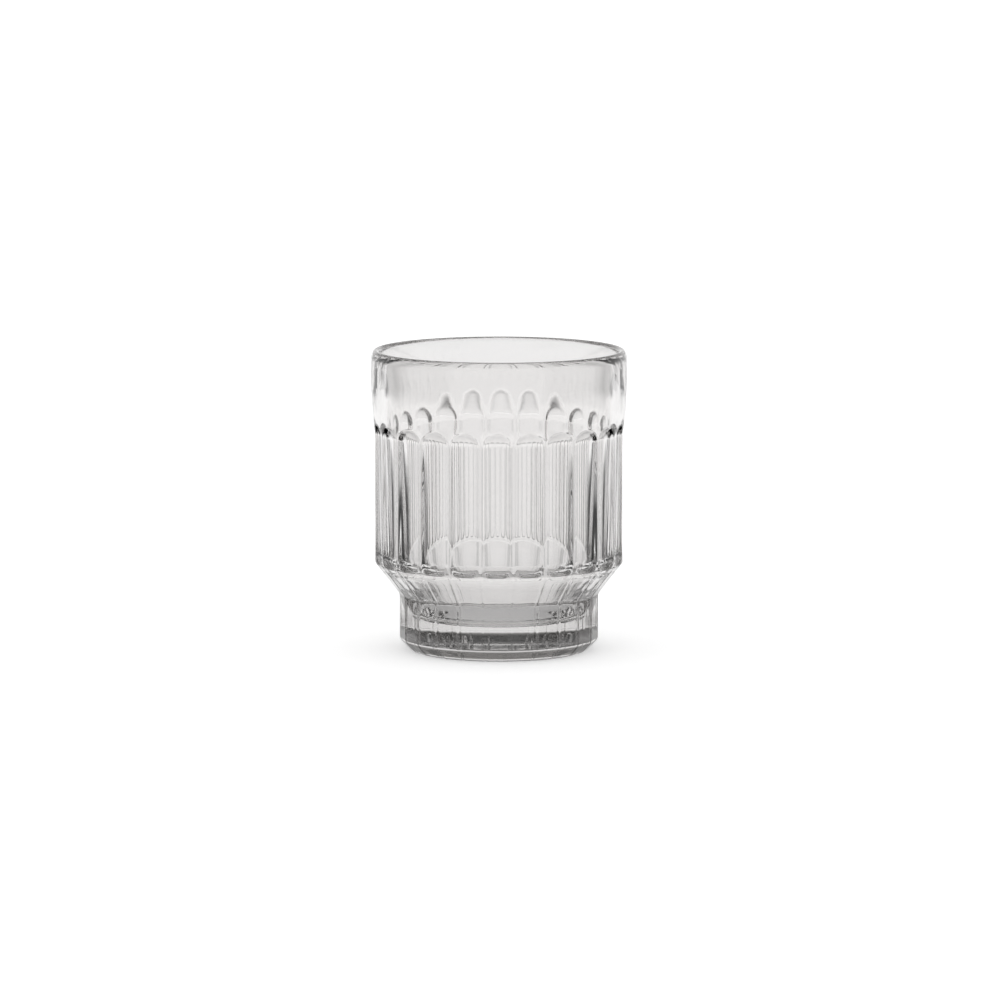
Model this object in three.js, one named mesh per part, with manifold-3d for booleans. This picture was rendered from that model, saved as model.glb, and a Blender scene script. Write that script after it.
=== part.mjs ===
// A whiskey tumbler, press-moulded in one piece of pale smoke-grey glass.
//
// From the top down it has a rounded lip, a smooth round band, a body cut all round by shallow upright flutes
// with arched ends, a sloping shoulder and a narrower foot with flat panels, and a chamfer under the foot.
// Inside, the wall tapers down to a funnel that follows the shoulder, and ends in a thick solid base.
//
// Units are millimetres, +Z is up, and the origin is the centre of the underside.
// A flute's middle faces -Y.

import * as THREE from 'three';
import { mergeVertices } from 'three/addons/utils/BufferGeometryUtils.js';
import Module from 'manifold-3d';

const wasm = await Module();
wasm.setup();

// ---- Driving dimensions ----

const HEIGHT = 100;
const BAND_RADIUS = 42.4;
const BODY_RADIUS = 41.3; // to the ridges between the flutes
const FOOT_RADIUS = 33.2; // to the corners between the foot's panels
const STANDING_RADIUS = 29.6; // outer edge of the ring that touches the table

const CHAMFER_TOP = 3.6;
const FOOT_TOP = 18.8;
const SHOULDER_TOP = 29.3;
const BAND_BOTTOM = 73; // where the ridges run out into the band
const BAND_FULL = 88.5; // where the band reaches its full radius

const FLUTE_COUNT = 24;
const FLUTE_DEPTH = 0.9; // below the flat between two ridges
const RIDGE_WIDTH = 0.9; // the narrow land left between two flutes
const FLUTE_BOTTOM = SHOULDER_TOP + 0.3;
const FLUTE_TOP = 77.4;
const FLUTE_END_HEIGHT = 5; // height of each arched end

const LIP_RADIUS = 41; // crest of the lip
const MOUTH_RADIUS = 39.4; // inner edge of the lip
const LIP_OUTER_HEIGHT = 3; // from the crest down to the straight band
const LIP_INNER_HEIGHT = 1.5;

const MOUTH_TAPER_END = { radius: 37.6, height: 86 };
const WALL_TAPER_END = { radius: 34.3, height: 29.6 }; // where the wall meets the funnel
const FUNNEL_END = { radius: 20, height: 12.5 };
const FUNNEL_ROUNDING = 2; // height of the curve from the wall into the funnel, above and below their corner
const FLOOR_HEIGHT = 10.4;
const FLOOR_CORNER_RADIUS = 1.6;

const RECESS_RADIUS = 26; // the shallow hollow under the base
const RECESS_DEPTH = 0.6;

// ---- Fineness of the round surfaces ----

const ROUND_SEGMENTS = 72;
const FLUTE_SEGMENTS = 48;
const END_STEPS = 4;
const END_ARC = Math.PI / 6; // the part of a flute's arched end that can reach the glass
const LIP_STEPS = 3;
const CORNER_STEPS = 3;

// ---- Turning, joining and cutting ----

// The points on an arc of an ellipse, from one angle to another, both in radians.
function arcPoints(centreRadius, centreHeight, width, height, from, to, steps) {
  const arc = new THREE.EllipseCurve(centreRadius, centreHeight, width, height, from, to, from > to);
  return arc.getPoints(steps);
}

// A solid turned about +Z from a profile of radius and height. Its seam is at -Y, moved on by an angle.
function turned(profile, segments, seamAngle = 0) {
  const geometry = new THREE.LatheGeometry(profile, segments, seamAngle, 2 * Math.PI);
  return geometry.rotateX(Math.PI / 2);
}

function toSolid(geometry) {
  geometry.deleteAttribute('normal');
  geometry.deleteAttribute('uv');
  const merged = mergeVertices(geometry, 1e-4);
  return new wasm.Manifold(new wasm.Mesh({
    numProp: 3,
    vertProperties: merged.attributes.position.array,
    triVerts: Uint32Array.from(merged.index.array),
  }));
}

function toGeometry(solid) {
  const mesh = solid.getMesh();
  const geometry = new THREE.BufferGeometry();
  geometry.setAttribute('position', new THREE.BufferAttribute(mesh.vertProperties, mesh.numProp));
  geometry.setIndex(new THREE.BufferAttribute(mesh.triVerts, 1));
  geometry.computeVertexNormals();
  return geometry;
}

// ---- The glass ----

// The panelled lower part: foot, shoulder and body, with a flat side for each flute.
function panelledBlank() {
  const profile = [
    new THREE.Vector2(0, 0),
    new THREE.Vector2(STANDING_RADIUS, 0),
    new THREE.Vector2(FOOT_RADIUS, CHAMFER_TOP),
    new THREE.Vector2(FOOT_RADIUS, FOOT_TOP),
    new THREE.Vector2(BODY_RADIUS, SHOULDER_TOP),
    new THREE.Vector2(BODY_RADIUS, FLUTE_TOP),
    new THREE.Vector2(0, FLUTE_TOP),
  ];
  return toSolid(turned(profile, FLUTE_COUNT, Math.PI / FLUTE_COUNT));
}

// The round upper part: the flare, the smooth band and the outer half of the lip.
function roundBlank() {
  const lipBottom = HEIGHT - LIP_OUTER_HEIGHT;
  const lipWidth = BAND_RADIUS - LIP_RADIUS;
  const flare = new THREE.CubicBezierCurve(
    new THREE.Vector2(BODY_RADIUS - 0.1, BAND_BOTTOM),
    new THREE.Vector2(BODY_RADIUS + 0.4, FLUTE_TOP),
    new THREE.Vector2(BAND_RADIUS, BAND_FULL - 5),
    new THREE.Vector2(BAND_RADIUS, BAND_FULL),
  );
  const profile = [
    new THREE.Vector2(0, BAND_BOTTOM),
    ...flare.getPoints(5),
    ...arcPoints(LIP_RADIUS, lipBottom, lipWidth, LIP_OUTER_HEIGHT, 0, Math.PI / 2, LIP_STEPS),
    new THREE.Vector2(0, HEIGHT),
  ];
  return toSolid(turned(profile, ROUND_SEGMENTS));
}

// The radius of the funnel at a height between the floor and the wall.
function funnelRadius(height) {
  const rise = WALL_TAPER_END.height - FUNNEL_END.height;
  const slope = (WALL_TAPER_END.radius - FUNNEL_END.radius) / rise;
  return FUNNEL_END.radius + slope * (height - FUNNEL_END.height);
}

// The radius of the tapered wall at a height above the funnel.
function wallRadius(height) {
  const rise = MOUTH_TAPER_END.height - WALL_TAPER_END.height;
  const slope = (MOUTH_TAPER_END.radius - WALL_TAPER_END.radius) / rise;
  return WALL_TAPER_END.radius + slope * (height - WALL_TAPER_END.height);
}

// The room inside, from the floor up past the rim, with the inner half of the lip.
function cavity() {
  const lipWidth = LIP_RADIUS - MOUTH_RADIUS;
  const cornerTop = FLOOR_HEIGHT + FLOOR_CORNER_RADIUS;
  const curveBottom = WALL_TAPER_END.height - FUNNEL_ROUNDING;
  const curveTop = WALL_TAPER_END.height + FUNNEL_ROUNDING;
  const floorRadius = funnelRadius(cornerTop) - FLOOR_CORNER_RADIUS;
  const floorCorner = arcPoints(
    floorRadius, cornerTop, FLOOR_CORNER_RADIUS, FLOOR_CORNER_RADIUS, 1.5 * Math.PI, 2 * Math.PI, CORNER_STEPS,
  );
  const wallCurve = new THREE.QuadraticBezierCurve(
    new THREE.Vector2(funnelRadius(curveBottom), curveBottom),
    new THREE.Vector2(WALL_TAPER_END.radius, WALL_TAPER_END.height),
    new THREE.Vector2(wallRadius(curveTop), curveTop),
  );
  const lipTop = arcPoints(
    LIP_RADIUS, HEIGHT - LIP_INNER_HEIGHT, lipWidth, LIP_INNER_HEIGHT, Math.PI, Math.PI / 2, LIP_STEPS,
  );
  const profile = [
    new THREE.Vector2(0, FLOOR_HEIGHT),
    ...floorCorner,
    ...wallCurve.getPoints(CORNER_STEPS),
    new THREE.Vector2(MOUTH_TAPER_END.radius, MOUTH_TAPER_END.height),
    ...lipTop,
    new THREE.Vector2(LIP_RADIUS, HEIGHT + 1),
    new THREE.Vector2(0, HEIGHT + 1),
  ];
  return toSolid(turned(profile, ROUND_SEGMENTS));
}

// One flute's hollow: an upright round bar with rounded ends, which bites into the wall from outside.
function fluteCutter(index) {
  const halfPitch = Math.PI / FLUTE_COUNT;
  const halfWidth = BODY_RADIUS * Math.sin(halfPitch) - RIDGE_WIDTH / 2;
  const panelDistance = BODY_RADIUS * Math.cos(halfPitch);
  const barRadius = (halfWidth ** 2 + FLUTE_DEPTH ** 2) / (2 * FLUTE_DEPTH);
  const endHeight = FLUTE_END_HEIGHT * barRadius / halfWidth;
  const straightBottom = FLUTE_BOTTOM + FLUTE_END_HEIGHT;
  const straightTop = FLUTE_TOP - FLUTE_END_HEIGHT;
  const lowerEnd = arcPoints(0, straightBottom, barRadius, endHeight, -END_ARC, 0, END_STEPS);
  const upperEnd = arcPoints(0, straightTop, barRadius, endHeight, 0, END_ARC, END_STEPS);
  const profile = [
    new THREE.Vector2(0, lowerEnd[0].y),
    ...lowerEnd,
    ...upperEnd,
    new THREE.Vector2(0, upperEnd[END_STEPS].y),
  ];
  const bar = turned(profile, FLUTE_SEGMENTS);
  bar.translate(0, -(panelDistance - FLUTE_DEPTH + barRadius), 0);
  bar.rotateZ(2 * Math.PI * index / FLUTE_COUNT);
  return toSolid(bar);
}

// The shallow hollow under the base, which leaves a flat ring to stand on.
function baseRecess() {
  const profile = [
    new THREE.Vector2(0, -1),
    new THREE.Vector2(RECESS_RADIUS, -1),
    new THREE.Vector2(RECESS_RADIUS, 0),
    new THREE.Vector2(RECESS_RADIUS - 3 * RECESS_DEPTH, RECESS_DEPTH),
    new THREE.Vector2(0, RECESS_DEPTH),
  ];
  return toSolid(turned(profile, ROUND_SEGMENTS / 2));
}

function tumbler() {
  let glass = panelledBlank().add(roundBlank());
  for (let index = 0; index < FLUTE_COUNT; index += 1) {
    glass = glass.subtract(fluteCutter(index));
  }
  return glass.subtract(cavity()).subtract(baseRecess());
}

const smokeGlass = new THREE.MeshStandardMaterial({
  color: 0xd9d7d8,
  roughness: 0.05,
  metalness: 0,
  transparent: true,
  opacity: 0.4,
});

const body = new THREE.Mesh(toGeometry(tumbler()), smokeGlass);
body.name = 'glass_body';

const group = new THREE.Group();
group.add(body);

export default group;
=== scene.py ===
"""A whiskey tumbler, press-moulded in pale smoke-grey glass, standing on a white studio floor.

The glass is one closed mesh made of rings. Its outside is a turned outline with shallow upright flutes in
the body, and flat panels with narrow grooves between them down the shoulder and foot. Its inside and its base
are plainly turned. The sizes below are in millimetres, and the mesh is made in metres.
"""

import math

import bpy
import numpy as np
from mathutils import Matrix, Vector


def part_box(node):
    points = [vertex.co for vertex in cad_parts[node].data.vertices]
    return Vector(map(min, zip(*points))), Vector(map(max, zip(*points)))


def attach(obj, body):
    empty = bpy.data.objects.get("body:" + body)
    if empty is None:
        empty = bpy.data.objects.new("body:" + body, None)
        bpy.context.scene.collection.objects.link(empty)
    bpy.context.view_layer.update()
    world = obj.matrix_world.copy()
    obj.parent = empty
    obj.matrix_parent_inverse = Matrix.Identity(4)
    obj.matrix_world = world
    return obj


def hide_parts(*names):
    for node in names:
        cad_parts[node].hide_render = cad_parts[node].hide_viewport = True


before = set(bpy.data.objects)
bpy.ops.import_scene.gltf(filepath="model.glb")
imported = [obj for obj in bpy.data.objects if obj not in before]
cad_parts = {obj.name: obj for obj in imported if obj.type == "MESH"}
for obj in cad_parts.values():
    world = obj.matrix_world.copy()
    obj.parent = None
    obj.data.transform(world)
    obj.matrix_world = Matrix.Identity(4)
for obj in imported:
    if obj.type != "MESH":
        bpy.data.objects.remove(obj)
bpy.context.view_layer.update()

# ---- Sizes, in millimetres ----

MM = 0.001
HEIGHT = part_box("glass_body")[1].z / MM
BAND_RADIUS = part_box("glass_body")[1].x / MM
BODY_RADIUS = 41.3
FOOT_RADIUS = 33.2
STANDING_RADIUS = 29.6

CHAMFER_TOP = 3.6
FOOT_TOP = 18.8
SHOULDER_TOP = 29.3
BAND_BOTTOM = 73.0
FLARE_MIDDLE = 77.0
FLARE_MIDDLE_RADIUS = BODY_RADIUS + 0.5
BAND_FULL = 88.6

# Each corner of the outside: radius, height, and how softly it is rounded.
OUTSIDE = [
    (STANDING_RADIUS, 0.0, 0.0),
    (FOOT_RADIUS, CHAMFER_TOP, 0.35),
    (FOOT_RADIUS, FOOT_TOP, 0.35),
    (BODY_RADIUS, SHOULDER_TOP, 0.3),
    (BODY_RADIUS, BAND_BOTTOM, 0.5),
    (FLARE_MIDDLE_RADIUS, FLARE_MIDDLE, 0.8),
    (BAND_RADIUS, BAND_FULL, 1.0),
    (BAND_RADIUS, HEIGHT, 0.0),
]

LIP_RADIUS = 41.0
LIP_OUTER_HEIGHT = 3.1
LIP_INNER_HEIGHT = 1.4
MOUTH_RADIUS = 39.4

MOUTH_TAPER_RADIUS = 37.6
MOUTH_TAPER_BOTTOM = 86.0
FUNNEL_TOP_RADIUS = 34.3
FUNNEL_TOP = 29.6
FUNNEL_BOTTOM_RADIUS = 20.0
FUNNEL_BOTTOM = 12.5

# The corners of the inside, from the floor of the cup up to the lip.
INSIDE = [
    (FUNNEL_BOTTOM_RADIUS, FUNNEL_BOTTOM, 0.0),
    (FUNNEL_TOP_RADIUS, FUNNEL_TOP, 0.6),
    (MOUTH_TAPER_RADIUS, MOUTH_TAPER_BOTTOM, 1.5),
    (MOUTH_RADIUS, HEIGHT - LIP_INNER_HEIGHT, 0.0),
]
FLOOR_HEIGHT = 10.4
FLOOR_CORNER = 1.6

# The shallow hollow under the base, and the width of its sloping edge.
RECESS_RADIUS = 26.0
RECESS_DEPTH = 0.6
RECESS_SLOPE = 2.5

# The flutes. Each is straight-sided between two heights, and its ends are rounded above and below them.
FLUTES = 24
HALF_PITCH = math.pi / FLUTES
FLUTE_STRAIGHT_BOTTOM = 33.4
FLUTE_STRAIGHT_TOP = 71.4
FLUTE_BOTTOM_ROUNDING = 5.4
FLUTE_TOP_ROUNDING = 5.4

# Across a flute from its middle: a round hollow, then a side that steepens up to the edge, then the ridge.
FLUTE_HOLLOW_WIDTH = 3.8
FLUTE_HOLLOW_RADIUS = 10.0
FLUTE_EDGE_WIDTH = 4.6
FLUTE_EDGE_SLOPE = math.radians(43)

# The grooves between the foot's panels. The panels fade out over a short height under the shoulder's top.
GROOVE_DEPTH = 0.45
GROOVE_HALF_WIDTH = 1.0
PANEL_FADE = 2.0

# How finely the mesh is made. Rows are closer together within a reach of a corner.
COLUMNS_PER_FLUTE = 22
CORNER_REACH = 1.2
FUNNEL_REACH = 3.6
ARC_STEPS = 8
SECTION_STEPS = 400
UNDERSIDE_SHARES = (0.3, 0.6, 0.85)
FLOOR_SHARES = (0.75, 0.5, 0.25)

# ---- Glass ----

SMOKE = (0.80, 0.79, 0.785)
SMOKE_DENSITY = 15.0
SURFACE_TINT = (0.915, 0.907, 0.903)
GLASS_IOR = 1.52
WAVE_SCALE = (250.0, 250.0, 150.0)
WAVE_HEIGHT = 0.00002

# Painted shade on the chamfer: its dark colour, and how far it gives way to the surface tint at each height
# in millimetres.
CHAMFER_PAINTED_SHADE = (0.055, 0.052, 0.049)
CHAMFER_SHADE_FADE = [(0.7, 1.0), (1.0, 0.0), (3.3, 0.0), (3.9, 1.0)]
CHAMFER_SHADE_FADE_TOP = 10.0

# ---- Studio ----

# How bright the room is. A fade runs between two heights, each the upward part of a direction of length 1.
HORIZON_LEVEL = 1.0
HORIZON_FADE = (0.0, 0.6)
ROOM_LEVEL = 0.05
SOFTBOX_LEVEL = 0.6
SOFTBOX_FADE = (0.88, 0.95)
FLOOR_LIGHT = 0.8

# The floor and the sheet of painted shade on it, in metres. The floor is a little below the glass, so the two
# never coincide.
FLOOR_SIZE = 60.0
FLOOR_GAP = 0.0001
FLOOR_PAINT = (0.95, 0.95, 0.95)
FLOOR_GLOW = 0.40
SHADE_SHEET_SIZE = 6.0
SHADE_SHEET_PAINT = (0.02, 0.02, 0.02)
SHADE_SHEET_LEAST = 0.1

# The sheet fades in near the glass and out further away, three times as soon to the sides as to the back.
SHADE_SHEET_NEAR = (0.055, 0.085)
SHADE_SHEET_FAR = (0.60, 0.90)
SHADE_SHEET_SQUEEZE = 3.0

# How dark it is by direction, in degrees from straight behind the glass.
SHADE_SHEET_BY_DIRECTION = [
    (0, 0.18),
    (14, 0.18),
    (22, 0.46),
    (32, 0.1),
    (36, 0.0),
    (43, 0.0),
    (51, 1.0),
    (130, 1.0),
    (140, 0.0),
    (180, 0.0),
]

# The camera. Its place and aim are in metres, its lens and sensor in millimetres.
CAMERA_DISTANCE = 2.12
CAMERA_HEIGHT = 0.3275
CAMERA_AIM_HEIGHT = 0.0497
CAMERA_AZIMUTH = math.radians(0.9)
CAMERA_LENS = 231.732
CAMERA_SHIFT = 0.001
CAMERA_NEAR = 0.05
SENSOR_WIDTH = 36.0


# ---- The glass's surface ----

def rounded_line(heights, corners):
    """The radius at each height along straight lines through the corners, with the corners rounded."""
    slopes = []
    for (radius, height, _), (next_radius, next_height, _) in zip(corners, corners[1:]):
        slopes.append((next_radius - radius) / (next_height - height))
    first_radius, first_height, _ = corners[0]
    radii = first_radius + slopes[0] * (heights - first_height)
    for (_, height, softness), slope, next_slope in zip(corners[1:-1], slopes, slopes[1:]):
        bend = softness * np.logaddexp(0, (heights - height) / softness)
        radii = radii + (next_slope - slope) * bend
    return radii


def flute_section():
    """A flute's depth at even steps from its middle to its edge."""
    half_width = BODY_RADIUS * HALF_PITCH
    across = np.linspace(0, half_width, SECTION_STEPS)
    side = math.sin(FLUTE_EDGE_SLOPE)
    stations = [0, FLUTE_HOLLOW_WIDTH, FLUTE_EDGE_WIDTH, half_width]
    sine = np.interp(across, stations, [0, FLUTE_HOLLOW_WIDTH / FLUTE_HOLLOW_RADIUS, side, 0])
    slope = sine / np.sqrt(1 - sine ** 2)
    climb = np.concatenate([[0], np.cumsum((slope[1:] + slope[:-1]) / 2 * np.diff(across))])
    return across, climb[-1] - climb


def flute_depth(angles, heights):
    """How deep the body's flutes are at an angle from a flute's middle and a height."""
    across, depth = flute_section()
    past_top = (heights - FLUTE_STRAIGHT_TOP) * across[-1] / FLUTE_TOP_ROUNDING
    past_bottom = (FLUTE_STRAIGHT_BOTTOM - heights) * across[-1] / FLUTE_BOTTOM_ROUNDING
    beyond = np.maximum(np.maximum(past_top, past_bottom), 0)
    distance = np.hypot(BODY_RADIUS * np.abs(angles), beyond)
    return np.interp(distance, across, depth, right=0)


def panel_depth(angles, radii, heights):
    """How far the foot's flat panels and the grooves between them lie inside the outline."""
    from_edge = (HALF_PITCH - np.abs(angles)) * radii
    in_groove = np.clip(1 - from_edge / GROOVE_HALF_WIDTH, 0, 1)
    flat = radii * (1 - math.cos(HALF_PITCH) / np.cos(angles))
    fade = np.clip((SHOULDER_TOP - heights) / PANEL_FADE, 0, 1)
    return (GROOVE_DEPTH * in_groove ** 2 + flat) * fade


def outer_ring(angles, height):
    heights = np.full_like(angles, height)
    radii = rounded_line(heights, OUTSIDE)
    if height < SHOULDER_TOP:
        return radii - panel_depth(angles, radii, heights), heights
    return radii - flute_depth(angles, heights), heights


def spread(*stops):
    """Heights from each stop to the next. A stop is a height, and the number of steps up to the one after."""
    heights = []
    for (start, steps), (end, _) in zip(stops, stops[1:]):
        heights.extend(np.linspace(start, end, steps, endpoint=False))
    heights.append(stops[-1][0])
    return heights


def outer_heights():
    flute_top = FLUTE_STRAIGHT_TOP + FLUTE_TOP_ROUNDING
    return spread(
        (0.0, 5),
        (CHAMFER_TOP - CORNER_REACH, 10),
        (CHAMFER_TOP + CORNER_REACH, 5),
        (FOOT_TOP - CORNER_REACH, 10),
        (FOOT_TOP + CORNER_REACH, 5),
        (SHOULDER_TOP - CORNER_REACH, 22),
        (FLUTE_STRAIGHT_BOTTOM + CORNER_REACH, 6),
        (FLUTE_STRAIGHT_TOP, 24),
        (flute_top + CORNER_REACH, 8),
        (BAND_FULL + CORNER_REACH, 3),
        (HEIGHT - LIP_OUTER_HEIGHT, 0),
    )


def quarter(centre, reach, start, end):
    """Radius and height points on an arc of an ellipse, leaving out its first point."""
    points = []
    for angle in np.linspace(start, end, ARC_STEPS + 1)[1:]:
        points.append((centre[0] + reach[0] * math.cos(angle), centre[1] + reach[1] * math.sin(angle)))
    return points


def lip_profile():
    outer_centre = (LIP_RADIUS, HEIGHT - LIP_OUTER_HEIGHT)
    outer = quarter(outer_centre, (BAND_RADIUS - LIP_RADIUS, LIP_OUTER_HEIGHT), 0, math.pi / 2)
    inner_centre = (LIP_RADIUS, HEIGHT - LIP_INNER_HEIGHT)
    inner = quarter(inner_centre, (LIP_RADIUS - MOUTH_RADIUS, LIP_INNER_HEIGHT), math.pi / 2, math.pi)
    return outer + inner


def inside_profile():
    """Radius and height points from just below the lip, down the wall and over the floor to near the axis."""
    corner_top = FLOOR_HEIGHT + FLOOR_CORNER
    heights = spread(
        (corner_top, 12),
        (FUNNEL_TOP - FUNNEL_REACH, 16),
        (FUNNEL_TOP + FUNNEL_REACH, 10),
        (MOUTH_TAPER_BOTTOM - CORNER_REACH, 8),
        (HEIGHT - 2 * LIP_INNER_HEIGHT, 0),
    )[::-1]
    radii = rounded_line(np.array(heights), INSIDE)
    wall = list(zip(radii, heights))
    flat_radius = radii[-1] - FLOOR_CORNER
    corner = quarter((flat_radius, corner_top), (FLOOR_CORNER, FLOOR_CORNER), 0, -math.pi / 2)
    floor = [(flat_radius * share, FLOOR_HEIGHT) for share in FLOOR_SHARES]
    return wall + corner + floor


def underside_profile():
    """Radius and height points from near the axis out to the standing ring."""
    points = [(RECESS_RADIUS * share, RECESS_DEPTH) for share in UNDERSIDE_SHARES]
    for share in np.linspace(0, 1, 6):
        ease = share * share * (3 - 2 * share)
        points.append((RECESS_RADIUS - RECESS_SLOPE * (1 - share), RECESS_DEPTH * (1 - ease)))
    points.append(((RECESS_RADIUS + STANDING_RADIUS) / 2, 0.0))
    return points


def glass_rings(angles):
    """Radii and heights of all the rings, from under the base, up the outside and down to the cup's floor."""
    rings = []
    for radius, height in underside_profile():
        rings.append((np.full_like(angles, radius), np.full_like(angles, height)))
    for height in outer_heights():
        rings.append(outer_ring(angles, height))
    for radius, height in lip_profile() + inside_profile():
        rings.append((np.full_like(angles, radius), np.full_like(angles, height)))
    return rings


def glass_mesh():
    count = FLUTES * COLUMNS_PER_FLUTE
    turn = np.arange(count) * 2 * math.pi / count
    from_middle = (turn + HALF_PITCH) % (2 * HALF_PITCH) - HALF_PITCH
    rings = glass_rings(from_middle)
    points = []
    for radii, heights in rings:
        points.append(np.stack([radii * np.sin(turn), -radii * np.cos(turn), heights], axis=1))
    bottom_centre = [[0, 0, RECESS_DEPTH]]
    floor_centre = [[0, 0, FLOOR_HEIGHT]]
    vertices = np.concatenate(points + [bottom_centre, floor_centre]) * MM

    here = np.arange(count)
    after = (here + 1) % count
    faces = []
    for ring in range(len(rings) - 1):
        low = ring * count
        high = low + count
        faces.extend(np.stack([low + here, low + after, high + after, high + here], axis=1).tolist())
    last = (len(rings) - 1) * count
    bottom = len(rings) * count
    faces.extend(np.stack([np.full(count, bottom), after, here], axis=1).tolist())
    faces.extend(np.stack([np.full(count, bottom + 1), last + here, last + after], axis=1).tolist())
    mesh = bpy.data.meshes.new("tumbler_glass")
    mesh.from_pydata(vertices.tolist(), [], faces)
    mesh.polygons.foreach_set("use_smooth", [True] * len(mesh.polygons))
    mesh.update()
    return mesh


# ---- Materials ----

def calculate(nodes, links, operation, *values):
    """The result of one sum. Each value is a number, or comes from another node."""
    node = nodes.new("ShaderNodeMath")
    node.operation = operation
    for socket, value in zip(node.inputs, values):
        if isinstance(value, bpy.types.NodeSocket):
            links.new(value, socket)
        else:
            socket.default_value = value
    return node.outputs["Value"]


def ramp(nodes, links, value, fade, start, end):
    """A smooth change from one level to another while the value crosses the fade."""
    step = nodes.new("ShaderNodeMapRange")
    step.interpolation_type = "SMOOTHSTEP"
    step.inputs["From Min"].default_value, step.inputs["From Max"].default_value = fade
    step.inputs["To Min"].default_value = start
    step.inputs["To Max"].default_value = end
    links.new(value, step.inputs["Value"])
    return step.outputs["Result"]


def curve(nodes, links, value, stops, full):
    """A level on straight lines through the stops. A stop is a value from 0 to full, and its level."""
    shade = nodes.new("ShaderNodeValToRGB")
    elements = shade.color_ramp.elements
    while len(elements) < len(stops):
        elements.new(1.0)
    for element, (position, level) in zip(elements, stops):
        element.position = position / full
        element.color = (level, level, level, 1)
    links.new(calculate(nodes, links, "DIVIDE", value, full), shade.inputs["Fac"])
    return shade.outputs["Color"]


def smoke_glass():
    """Clear pressed glass with a faint smoke tint, the slight waviness of a fire-polished surface, and
    painted shade on the chamfer.
    """
    material = bpy.data.materials.new("smoke_glass")
    material.use_nodes = True
    nodes = material.node_tree.nodes
    links = material.node_tree.links
    shader = nodes["Principled BSDF"]
    shader.inputs["Base Color"].default_value = (*SURFACE_TINT, 1)
    shader.inputs["Roughness"].default_value = 0.0
    shader.inputs["IOR"].default_value = GLASS_IOR
    shader.inputs["Transmission Weight"].default_value = 1.0

    place = nodes.new("ShaderNodeTexCoord")
    stretch = nodes.new("ShaderNodeMapping")
    stretch.inputs["Scale"].default_value = WAVE_SCALE
    links.new(place.outputs["Object"], stretch.inputs["Vector"])
    waves = nodes.new("ShaderNodeTexNoise")
    waves.inputs["Scale"].default_value = 1.0
    waves.inputs["Detail"].default_value = 1.0
    links.new(stretch.outputs["Vector"], waves.inputs["Vector"])
    bump = nodes.new("ShaderNodeBump")
    bump.inputs["Strength"].default_value = 1.0
    bump.inputs["Distance"].default_value = WAVE_HEIGHT
    links.new(waves.outputs["Fac"], bump.inputs["Height"])
    links.new(bump.outputs["Normal"], shader.inputs["Normal"])

    # Painted shade: the surface colour turns dark over the chamfer near the base.
    split = nodes.new("ShaderNodeSeparateXYZ")
    links.new(place.outputs["Object"], split.inputs["Vector"])
    height = calculate(nodes, links, "DIVIDE", split.outputs["Z"], MM)
    unshaded_share = curve(nodes, links, height, CHAMFER_SHADE_FADE, CHAMFER_SHADE_FADE_TOP)
    # A mix node has several sockets of the same name, so its colour sockets are picked by type.
    tint_and_shade_mix = nodes.new("ShaderNodeMix")
    tint_and_shade_mix.data_type = "RGBA"
    chamfer_shade_colour, surface_tint = [socket for socket in tint_and_shade_mix.inputs if socket.type == "RGBA"]
    chamfer_shade_colour.default_value = (*CHAMFER_PAINTED_SHADE, 1)
    surface_tint.default_value = (*SURFACE_TINT, 1)
    links.new(unshaded_share, tint_and_shade_mix.inputs["Factor"])
    tint_with_painted_shade = [socket for socket in tint_and_shade_mix.outputs if socket.type == "RGBA"][0]
    links.new(tint_with_painted_shade, shader.inputs["Base Color"])

    absorption = nodes.new("ShaderNodeVolumeAbsorption")
    absorption.inputs["Color"].default_value = (*SMOKE, 1)
    absorption.inputs["Density"].default_value = SMOKE_DENSITY
    links.new(absorption.outputs["Volume"], nodes["Material Output"].inputs["Volume"])
    return material


def studio_floor_paint():
    material = bpy.data.materials.new("studio_floor")
    material.use_nodes = True
    shader = material.node_tree.nodes["Principled BSDF"]
    shader.inputs["Base Color"].default_value = (*FLOOR_PAINT, 1)
    shader.inputs["Roughness"].default_value = 0.9
    shader.inputs["Specular IOR Level"].default_value = 0.0
    shader.inputs["Emission Color"].default_value = (1, 1, 1, 1)
    shader.inputs["Emission Strength"].default_value = FLOOR_GLOW
    return material


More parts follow.
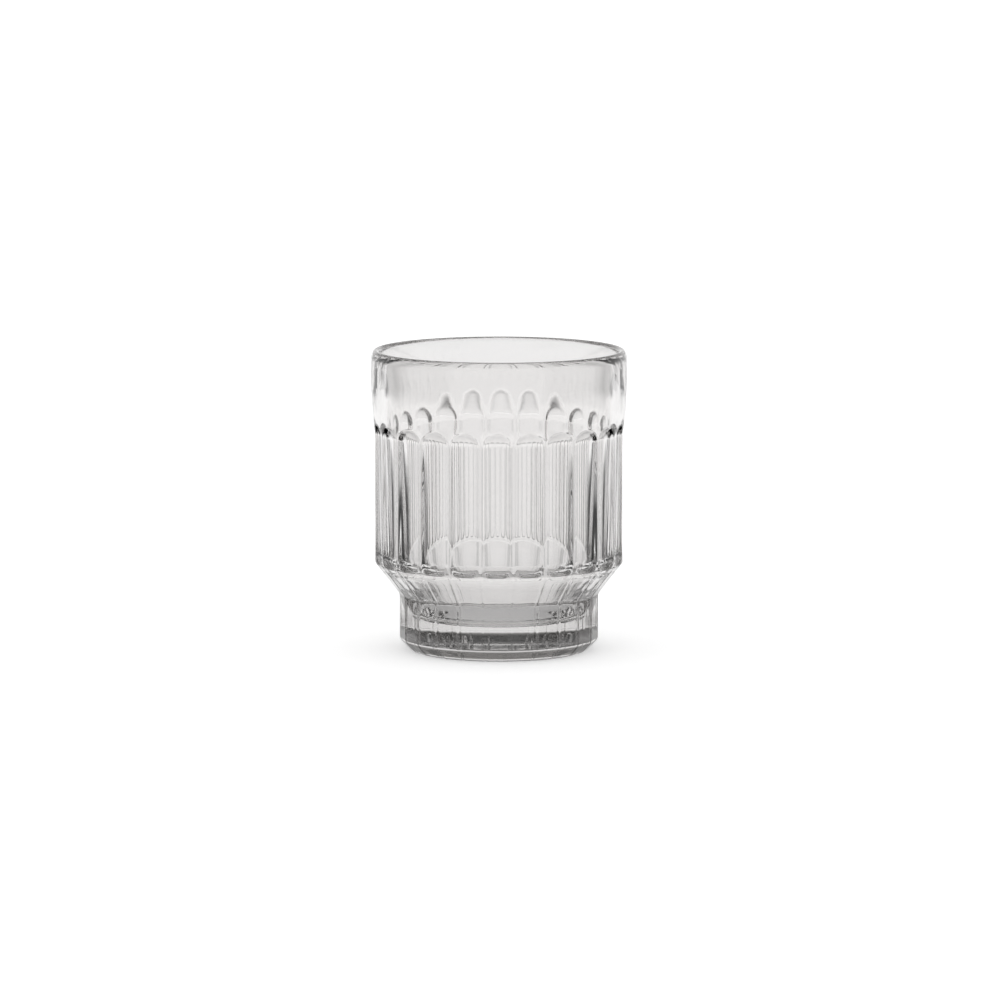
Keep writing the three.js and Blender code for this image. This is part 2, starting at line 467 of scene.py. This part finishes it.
def shade_sheet_paint():
    """Painted shade: dark paint that gets more see-through by direction and by distance from the glass."""
    material = bpy.data.materials.new("painted_shade_sheet")
    material.use_nodes = True
    nodes = material.node_tree.nodes
    links = material.node_tree.links
    shader = nodes["Principled BSDF"]
    shader.inputs["Base Color"].default_value = (*SHADE_SHEET_PAINT, 1)
    shader.inputs["Specular IOR Level"].default_value = 0.0

    place = nodes.new("ShaderNodeTexCoord")
    split = nodes.new("ShaderNodeSeparateXYZ")
    links.new(place.outputs["Object"], split.inputs["Vector"])
    sideways = calculate(nodes, links, "ABSOLUTE", split.outputs["X"])
    turn = calculate(nodes, links, "ARCTAN2", sideways, split.outputs["Y"])
    degrees = calculate(nodes, links, "DEGREES", turn)
    shade = curve(nodes, links, degrees, SHADE_SHEET_BY_DIRECTION, 180)

    distance = nodes.new("ShaderNodeVectorMath")
    distance.operation = "LENGTH"
    links.new(place.outputs["Object"], distance.inputs[0])
    near = ramp(nodes, links, distance.outputs["Value"], SHADE_SHEET_NEAR, 0, 1)
    squeeze = nodes.new("ShaderNodeVectorMath")
    squeeze.operation = "MULTIPLY"
    squeeze.inputs[1].default_value = (SHADE_SHEET_SQUEEZE, 1, 1)
    links.new(place.outputs["Object"], squeeze.inputs[0])
    squeezed_distance = nodes.new("ShaderNodeVectorMath")
    squeezed_distance.operation = "LENGTH"
    links.new(squeeze.outputs["Vector"], squeezed_distance.inputs[0])
    far = ramp(nodes, links, squeezed_distance.outputs["Value"], SHADE_SHEET_FAR, 1, 0)

    within = calculate(nodes, links, "MULTIPLY", near, far)
    level = calculate(nodes, links, "MULTIPLY", shade, within)
    links.new(calculate(nodes, links, "MAXIMUM", level, SHADE_SHEET_LEAST), shader.inputs["Alpha"])
    return material


# ---- Objects ----

def add_object(name, mesh, material):
    item = bpy.data.objects.new(name, mesh)
    bpy.context.scene.collection.objects.link(item)
    mesh.materials.append(material)
    return item


def make_tumbler():
    tumbler = add_object("tumbler_glass", glass_mesh(), smoke_glass())
    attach(tumbler, "root")
    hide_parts("glass_body")


def flat_square(name, size):
    reach = size / 2
    corners = [(-reach, -reach, 0), (reach, -reach, 0), (reach, reach, 0), (-reach, reach, 0)]
    mesh = bpy.data.meshes.new(name)
    mesh.from_pydata(corners, [], [(0, 1, 2, 3)])
    return mesh


def make_floor():
    floor = add_object("studio_floor", flat_square("studio_floor", FLOOR_SIZE), studio_floor_paint())
    floor.location.z = -FLOOR_GAP


def make_shade_sheet():
    """A sheet of painted shade lying on the floor, which only light that has been through the glass can see.
    """
    painted_shade_sheet = add_object("painted_shade_sheet", flat_square("painted_shade_sheet", SHADE_SHEET_SIZE), shade_sheet_paint())
    painted_shade_sheet.location.z = -FLOOR_GAP / 2
    painted_shade_sheet.visible_camera = False
    painted_shade_sheet.visible_diffuse = False
    painted_shade_sheet.visible_shadow = False


def make_surround():
    """A white sweep that fades into a dark room, with a softbox overhead.

    The camera sees plain white behind the glass, and the floor is lit evenly from all sides.
    """
    world = bpy.data.worlds.new("studio")
    bpy.context.scene.world = world
    world.use_nodes = True
    nodes = world.node_tree.nodes
    links = world.node_tree.links
    direction = nodes.new("ShaderNodeTexCoord")
    split = nodes.new("ShaderNodeSeparateXYZ")
    links.new(direction.outputs["Generated"], split.inputs["Vector"])
    sweep = ramp(nodes, links, split.outputs["Z"], HORIZON_FADE, HORIZON_LEVEL, ROOM_LEVEL)
    softbox = ramp(nodes, links, split.outputs["Z"], SOFTBOX_FADE, 0, SOFTBOX_LEVEL)
    total = calculate(nodes, links, "ADD", sweep, softbox)
    ray = nodes.new("ShaderNodeLightPath")
    backdrop = calculate(nodes, links, "MAXIMUM", total, ray.outputs["Is Camera Ray"])
    choose = nodes.new("ShaderNodeMix")
    choose.data_type = "FLOAT"
    links.new(ray.outputs["Is Diffuse Ray"], choose.inputs["Factor"])
    links.new(backdrop, choose.inputs["A"])
    choose.inputs["B"].default_value = FLOOR_LIGHT
    background = nodes["Background"]
    links.new(choose.outputs["Result"], background.inputs["Strength"])
    background.inputs["Color"].default_value = (1, 1, 1, 1)


def make_camera():
    data = bpy.data.cameras.new("camera")
    data.sensor_width = SENSOR_WIDTH
    data.lens = CAMERA_LENS
    data.shift_x = CAMERA_SHIFT
    data.clip_start = CAMERA_NEAR
    camera = bpy.data.objects.new("camera", data)
    bpy.context.scene.collection.objects.link(camera)
    camera.location = (
        CAMERA_DISTANCE * math.sin(CAMERA_AZIMUTH),
        -CAMERA_DISTANCE * math.cos(CAMERA_AZIMUTH),
        CAMERA_HEIGHT,
    )
    aim = Vector((0, 0, CAMERA_AIM_HEIGHT)) - camera.location
    camera.rotation_euler = aim.to_track_quat("-Z", "Y").to_euler()
    bpy.context.scene.camera = camera


def set_light_paths():
    scene = bpy.context.scene
    scene.view_settings.view_transform = "Standard"
    scene.cycles.use_denoising = True
    scene.cycles.max_bounces = 24
    scene.cycles.transmission_bounces = 24
    scene.cycles.glossy_bounces = 12
    scene.cycles.diffuse_bounces = 3


make_tumbler()
make_floor()
make_shade_sheet()
make_surround()
make_camera()
set_light_paths()
